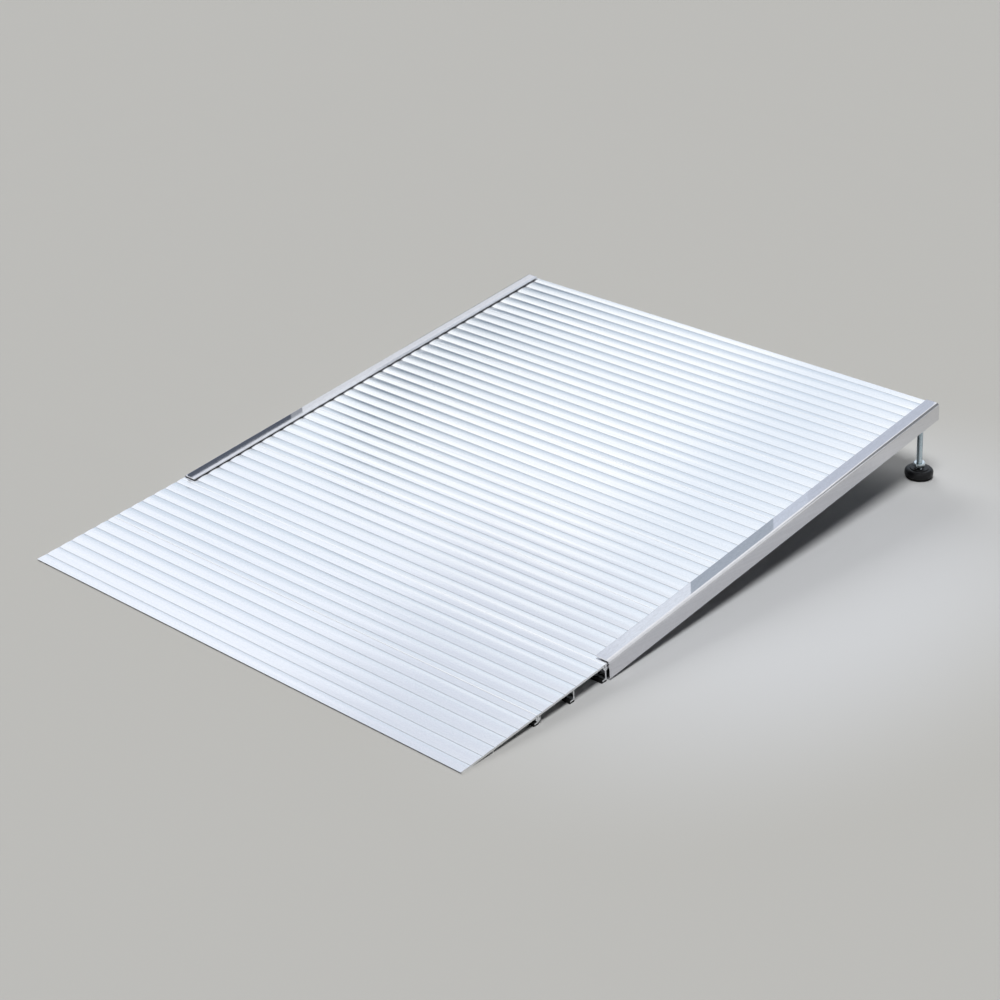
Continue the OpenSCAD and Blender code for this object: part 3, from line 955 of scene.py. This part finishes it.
def pad_shell():
    """Groove, rolled rim, wall, round shoulder, raised ring, flared mouth and ball cup."""
    ball_z = ball["right"].z
    top = ball_z + PAD_TOP_RISE
    shoulder = top - RING_H
    pen = Pen(0, SOLE_T)
    pen.line(GROOVE_R, SOLE_T)
    pen.line(GROOVE_R, GROOVE_TOP)
    pen.line(PAD_R - RIM_R, GROOVE_TOP)
    pen.arc(PAD_R - RIM_R, GROOVE_TOP + RIM_R, math.pi / 2, RIM_STEP)
    pen.line(PAD_R, shoulder - SHOULDER_R)
    pen.arc(PAD_R - SHOULDER_R, shoulder - SHOULDER_R, math.pi / 2)
    pen.line(RING_R, shoulder)
    pen.arc(RING_R - RING_H, shoulder, math.pi / 2, RIM_STEP)
    pen.line(MOUTH_TOP_R, top)
    mouth = math.asin(MOUTH_R / CUP_R)
    pen.line(MOUTH_R, ball_z + CUP_R * math.cos(mouth))
    pen.arc(0, ball_z, -(math.pi - mouth))
    return turned(pen, PAD_STEPS)


def sole():
    """A rubber disc with a chamfered bottom edge."""
    pen = Pen(0, 0)
    pen.line(SOLE_R - SOLE_CHAMFER, 0)
    pen.line(SOLE_R, SOLE_CHAMFER)
    pen.line(SOLE_R, SOLE_T)
    pen.line(0, SOLE_T)
    return turned(pen, PAD_STEPS)


for side in SIDES:
    under = Matrix.Translation((ball[side].x, ball[side].y, 0))
    finish_piece(pad_shell(), f"{side}_pad_drum", under,
                 f"{side}_foot", [f"{side}_pad"], plastic)
    finish_piece(sole(), f"{side}_sole_disc", under,
                 f"{side}_foot", [f"{side}_sole"], rubber)

# %% [markdown]
# ## Pieces that stay as they are
# The screws and the blocks inside the rails already have their shapes. They only get the new
# finishes.

# %% Finishes on the model's own pieces
OWN_PIECES = {"rail_screws": zinc, "block_screws": zinc, "foot_block": block_metal}
for side in SIDES:
    for part, material in OWN_PIECES.items():
        node = frame["nodes"][f"{side}_{part}"]
        for slot in node.material_slots:
            slot.material = material
print("model pieces with new finishes:", len(OWN_PIECES) * len(SIDES))

# %% [markdown]
# ## The floor
# The ramp stands on a pale grey floor that runs out of sight. Beside the right rail a painted
# pool of light makes it a little lighter, as a lamp on that side would.

# %% Floor
FLOOR_HALF = 30.0
# Centre, stretch, fade and colour of a painted pool of light on the floor, then the plain grey
# outside it.
FLOOR_POOL_CENTRE = (0.5, 0.12, 0.0)
FLOOR_STRETCH = (1.6, 1.0, 1.0)
FLOOR_FADE = (0.2, 0.85)
FLOOR_POOL_LIT = (0.635, 0.645, 0.66)
FLOOR_FAR = (0.51, 0.505, 0.485)
FLOOR_ROUGH = 0.9


def floor_material():
    """A dull grey, with a painted pool of light round one place."""
    material, tree, shader, place = new_material("floor_grey")
    away = vector_node(tree, "SUBTRACT", place, FLOOR_POOL_CENTRE)["Vector"]
    away = vector_node(tree, "MULTIPLY", away, FLOOR_STRETCH)["Vector"]
    far = vector_node(tree, "LENGTH", away)["Value"]
    tone = range_node(tree, far, FLOOR_FADE, 0.0, 1.0, True)
    colour = mixed_colour(tree, tone, FLOOR_POOL_LIT, FLOOR_FAR)
    tree.links.new(colour, shader.inputs["Base Color"])
    shader.inputs["Roughness"].default_value = FLOOR_ROUGH
    shader.inputs["Specular IOR Level"].default_value = 0.0
    return material


def make_floor():
    """One large square."""
    bm = bmesh.new()
    bmesh.ops.create_grid(bm, x_segments=1, y_segments=1, size=FLOOR_HALF)
    floor = new_object(bm, "floor", floor_material())


make_floor()
print("floor:", 2 * FLOOR_HALF, "m square")

# %% [markdown]
# ## The light
# Metal looks like what it reflects. A pale dome gives it a bright sky that is a little darker
# overhead, on the right, along the horizon and low down on the camera's side. Low down behind
# the ramp it is darker and bluer, which draws the grey bands on the ribs. Light Path lets
# mirrors see the whole dome, while only its far left part lights the floor. Two soft suns light
# the floor and the black pieces: a key from high up in front, and a fill from the left, which
# leaves the ramp's shadow on its right.

# %% Light
# Each dark share is taken from the dome's light, over a span of directions.
DOME = 1.16
WHITE = (0.97, 0.985, 1.0)
BLUE = (0.80, 0.92, 1.06)
TOP_DARK, TOP_Z = 0.22, (0.72, 0.95)
HORIZON_DARK, HORIZON_Z = 0.35, (0.0, 0.34)
RIGHT_DARK, RIGHT_X = 0.26, (0.0, 0.4)
CAMERA_SIDE = (0.66, -0.75)
FRONT_DARK, FRONT_SIDE, FRONT_Z = 0.35, (-0.2, 0.4), (0.0, 0.5)
LOW_DARK, LOW_TOP_Z, LOW_FOOT_Z = 0.33, (0.44, 0.62), (0.1, 0.3)
LOW_X, LOW_Y = (0.2, 0.55), (0.1, 0.4)
SOFT_LIGHT, SOFT_SIDE = 0.3, (0.1, -0.5)
# Each lamp: the way its light goes, its strength and its spread in degrees.
LAMPS = {
    "key_light": ((-0.2, 0.33, -1.0), 2.3, 22),
    "fill_light": ((0.76, -0.28, -0.59), 1.1, 35),
}


def make_world():
    """The dome: mirrors see all of it, and a part of it lights the floor."""
    world = bpy.data.worlds.new("studio")
    bpy.context.scene.world = world
    world.use_nodes = True
    tree = world.node_tree
    split = tree.nodes.new("ShaderNodeSeparateXYZ")
    way = tree.nodes.new("ShaderNodeTexCoord").outputs["Generated"]
    tree.links.new(way, split.inputs[0])
    x, y, z = split.outputs

    def fade(value, span, first, last):
        """A soft step from one number to another over a span of values."""
        return range_node(tree, value, span, first, last, True)

    side_x, side_y = CAMERA_SIDE
    side = math_node(tree, "ADD", product(tree, x, side_x), product(tree, y, side_y))
    front = product(tree, fade(side, FRONT_SIDE, 0.0, FRONT_DARK), fade(z, FRONT_Z, 1.0, 0.0))
    low = product(tree, fade(z, LOW_TOP_Z, LOW_DARK, 0.0), fade(z, LOW_FOOT_Z, 0.0, 1.0),
                  fade(x, LOW_X, 1.0, 0.0), fade(y, LOW_Y, 0.0, 1.0))
    light = product(tree, math_node(tree, "SUBTRACT", 1.0, front), DOME,
                    math_node(tree, "SUBTRACT", 1.0, low),
                    fade(z, TOP_Z, 1.0, 1.0 - TOP_DARK),
                    fade(z, HORIZON_Z, 1.0 - HORIZON_DARK, 1.0),
                    fade(x, RIGHT_X, 1.0, 1.0 - RIGHT_DARK))
    path = tree.nodes.new("ShaderNodeLightPath").outputs
    seen = math_node(tree, "ADD", path["Is Glossy Ray"], path["Is Transmission Ray"])
    seen = math_node(tree, "ADD", path["Is Camera Ray"], seen)
    soft = range_node(tree, side, SOFT_SIDE, 0.0, SOFT_LIGHT)
    light = product(tree, light, math_node(tree, "MAXIMUM", seen, soft))
    blue = range_node(tree, low, (0.0, LOW_DARK), 0.0, 1.0)
    sky = tree.nodes["Background"].inputs
    tree.links.new(light, sky["Strength"])
    tree.links.new(mixed_colour(tree, blue, WHITE, BLUE), sky["Color"])


def make_lamp(name, way, energy, spread):
    """A soft sun that mirrors don't show."""
    data = bpy.data.lights.new(name, "SUN")
    data.energy = energy
    data.angle = math.radians(spread)
    lamp = bpy.data.objects.new(name, data)
    lamp.rotation_euler = Vector(way).to_track_quat("-Z", "Y").to_euler()
    lamp.visible_glossy = False
    bpy.context.collection.objects.link(lamp)


make_world()
for name, lamp in LAMPS.items():
    make_lamp(name, *lamp)
print("lamps:", list(LAMPS))

# %% [markdown]
# ## Cards for the reflections
# A photographer shapes the reflections in bright metal with cards: dark ones draw a band on a
# rail, and pale ones calm a stretch of ribs. Each card here is a flat sheet that glows in its
# own tone. Only reflections show it, and only from its front, so that it doesn't show on the
# other side of the ramp.

# %% Cards
ROOM = Matrix.Identity(4)
# Each strip: its place across the ramp, and its lower and upper edge over the rib crests.
LEFT_STRIP = (-0.462, 0.005, 0.020)
RIGHT_STRIP = (0.429, 0.003, 0.036)


def strip_card(strip, start, end, colour):
    """A narrow upright card beside a rail's top flange, from one place up the slope to another."""
    across, low, high = strip
    return deck_frame, (across, start, low), (across, end, high), colour


# Each card: its frame, two corners and its colour.
CARDS = {
    "card_left": (ROOM, (-1.5, 1.05, 0.0), (-1.5, 2.6, 0.98), (0.07, 0.12, 0.18)),
    "card_rail": strip_card(LEFT_STRIP, 0.018, 0.262, (0.070, 0.086, 0.118)),
    "card_rail_end": strip_card(LEFT_STRIP, 0.262, 0.290, (0.33, 0.35, 0.38)),
    "card_rail_high": strip_card(LEFT_STRIP, 0.290, 0.930, (0.83, 0.86, 0.90)),
    "card_over_low": strip_card(RIGHT_STRIP, 0.239, 0.455, (0.41, 0.465, 0.534)),
    "card_over_mid": strip_card(RIGHT_STRIP, 0.455, 0.550, (0.65, 0.71, 0.81)),
    "card_over_high": strip_card(RIGHT_STRIP, 0.550, 0.930, (0.585, 0.635, 0.73)),
    "card_back": (ROOM, (0.2, 1.6, 0.5), (1.5, 1.6, 1.7), (0.205, 0.213, 0.22)),
    "card_front": (ROOM, (-2.2, -0.3, 1.0), (-0.76, 0.52, 1.0), (0.94, 0.98, 1.06)),
    "card_front_right": (ROOM, (-0.76, -0.3, 1.0), (-0.2, 0.52, 1.0), (0.70, 0.74, 0.83)),
    "card_right": (ROOM, (-0.52, 0.52, 1.0), (-0.15, 2.0, 1.0), (0.88, 0.94, 1.02)),
}


def card_material(name, colour):
    """A glow of one colour on the front, and nothing on the back."""
    material = bpy.data.materials.new(name)
    material.use_nodes = True
    tree = material.node_tree
    shader = tree.nodes["Principled BSDF"]
    behind = tree.nodes.new("ShaderNodeNewGeometry").outputs["Backfacing"]
    tree.links.new(math_node(tree, "SUBTRACT", 1.0, behind), shader.inputs["Alpha"])
    shader.inputs["Base Color"].default_value = (0, 0, 0, 1)
    shader.inputs["Emission Color"].default_value = (*colour, 1)
    shader.inputs["Emission Strength"].default_value = 1.0
    return material


def make_card(name, place, low, high, colour):
    """A flat card that only mirrors show. Its front is towards +X, -Y or the floor."""
    low, high = Vector(low), Vector(high)
    size = high - low
    turn = Matrix.Rotation(math.pi, 4, "X")
    if size.x == 0:
        turn = Matrix.Rotation(math.pi / 2, 4, "Y")
    elif size.y == 0:
        turn = Matrix.Rotation(math.pi / 2, 4, "X")
    stretch = Matrix.Diagonal((size.x or 1, size.y or 1, size.z or 1, 1))
    fit = place @ Matrix.Translation((low + high) / 2) @ stretch
    bm = bmesh.new()
    bmesh.ops.create_grid(bm, x_segments=1, y_segments=1, size=0.5, matrix=turn)
    bmesh.ops.transform(bm, matrix=fit, verts=bm.verts)
    card = new_object(bm, name, card_material(name, colour))
    card.visible_camera = card.visible_diffuse = card.visible_shadow = False


for name, card in CARDS.items():
    make_card(name, *card)
print("cards:", len(CARDS))

# %% [markdown]
# ## The camera
# The camera stands where the straight edges of the rails, the seams and the tip meet the
# photograph's. A long lens keeps them nearly parallel.

# %% Camera
CAMERA_AT = (2.0943, -2.39465, 1.6558)
CAMERA_DOWN = 27.09
CAMERA_LEFT = 41.23
SENSOR = 36
LENS = 78.08
camera_data = bpy.data.cameras.new("camera")
camera_data.sensor_width = SENSOR
camera_data.lens = LENS
camera = bpy.data.objects.new("camera", camera_data)
camera.location = CAMERA_AT
camera.rotation_euler = (math.radians(90 - CAMERA_DOWN), 0, math.radians(CAMERA_LEFT))
bpy.context.collection.objects.link(camera)
bpy.context.scene.camera = camera
bpy.context.scene.view_settings.view_transform = "Standard"
print("camera lens", LENS, "mm")
